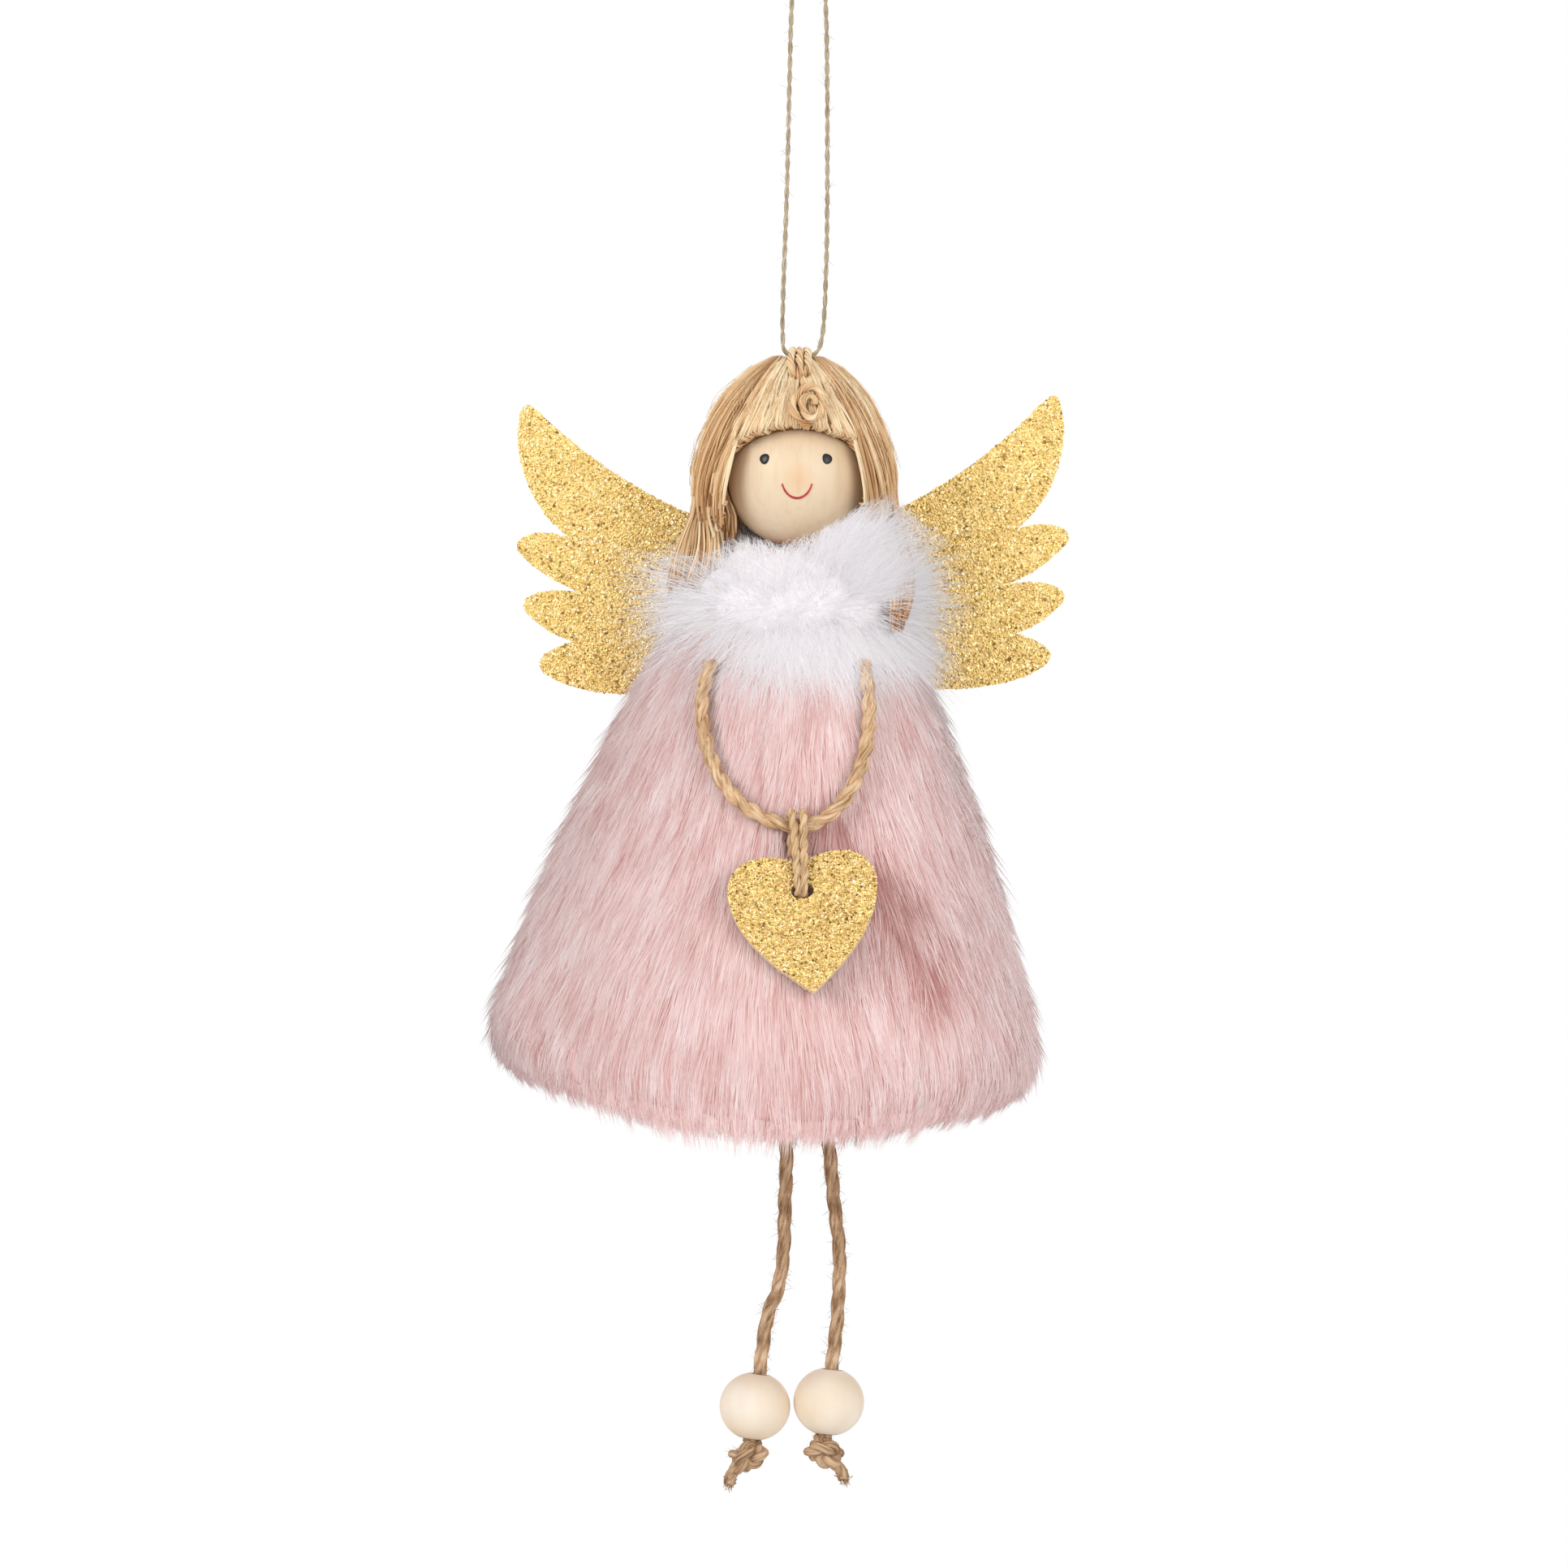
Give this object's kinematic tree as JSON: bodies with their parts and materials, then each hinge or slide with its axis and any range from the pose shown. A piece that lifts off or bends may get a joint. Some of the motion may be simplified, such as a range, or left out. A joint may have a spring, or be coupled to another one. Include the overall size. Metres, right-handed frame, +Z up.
{
  "type": "angel ornament",
  "caption": "Hanging angel doll with a wooden bead head, jute hair, plume collar, pink plush dress, glitter foam wings and heart, and cord legs with bead feet.",
  "frame": {"origin": "inside top of the hanging loop, where a hook carries the ornament", "axes": "+Z up along the hanging loop, -Y out of the doll's face, +X to the viewer's right"},
  "size_m": [0.1001, 0.0744, 0.2671],
  "materials": {
    "twine": "matte",
    "straw": "matte",
    "jute": "matte",
    "leg_jute": "matte",
    "head_wood": "satin",
    "bead_wood": "matte",
    "plume": "matte",
    "plush": "matte",
    "card": "matte",
    "glitter": "satin",
    "glue": "satin"
  },
  "bodies": {
    "hang": {"hang_loop": "twine"},
    "crown": {"crown_wrap": "straw"},
    "angel": {"hair_crown": "straw", "hair_fringe": "straw", "hair_curl": "straw", "hair_lock_left": "straw", "hair_lock_right": "straw", "head": "head_wood", "neck_cord": "jute", "hitch_knot": "jute", "collar": "plume", "dress": "plush", "body_cone": "card", "wings": "glitter", "wing_glue": "glue", "leg_left_upper": "leg_jute", "leg_right_upper": "leg_jute"},
    "arms": {"arms_cord": "jute"},
    "heart": {"heart_tie": "straw", "heart": "glitter"},
    "leg_left": {"leg_left_cord": "leg_jute", "foot_knot_left": "leg_jute"},
    "leg_right": {"leg_right_cord": "leg_jute", "foot_knot_right": "leg_jute"},
    "bead_left": {"foot_bead_left": "bead_wood"},
    "bead_right": {"foot_bead_right": "bead_wood"}
  },
  "joints": [
    {"name": "loop_swing", "type": "hinge", "parent": "hang", "child": "crown", "pos_m": [-0.0016, 0, -0.0699], "axis": [-1, 0, 0], "range_deg": [-60, 60]},
    {"name": "body_turn", "type": "hinge", "parent": "crown", "child": "angel", "pos_m": [-0.0019, 0, -0.0718], "axis": [0, 0, 1], "range_deg": [-180, 180]},
    {"name": "arms_lift", "type": "hinge", "parent": "angel", "child": "arms", "pos_m": [-0.0016, -0.0168, -0.1224], "axis": [-1, 0, 0], "range_deg": [0, 45]},
    {"name": "heart_swing", "type": "hinge", "parent": "arms", "child": "heart", "pos_m": [-0.0016, -0.02899, -0.1508], "axis": [-1, 0, 0], "range_deg": [0, 80]},
    {"name": "leg_left_swing", "type": "hinge", "parent": "angel", "child": "leg_left", "pos_m": [-0.00386, 0, -0.206], "axis": [-1, 0, 0], "range_deg": [-80, 80]},
    {"name": "leg_right_swing", "type": "hinge", "parent": "angel", "child": "leg_right", "pos_m": [0.0035, 0, -0.206], "axis": [-1, 0, 0], "range_deg": [-80, 80]},
    {"name": "bead_left_slide", "type": "slide", "parent": "leg_left", "child": "bead_left", "axis": [0.1392, 0, 0.9903], "range_m": [0, 0.01]},
    {"name": "bead_right_slide", "type": "slide", "parent": "leg_right", "child": "bead_right", "axis": [0.0958, 0, 0.9954], "range_m": [0, 0.01]}
  ]
}
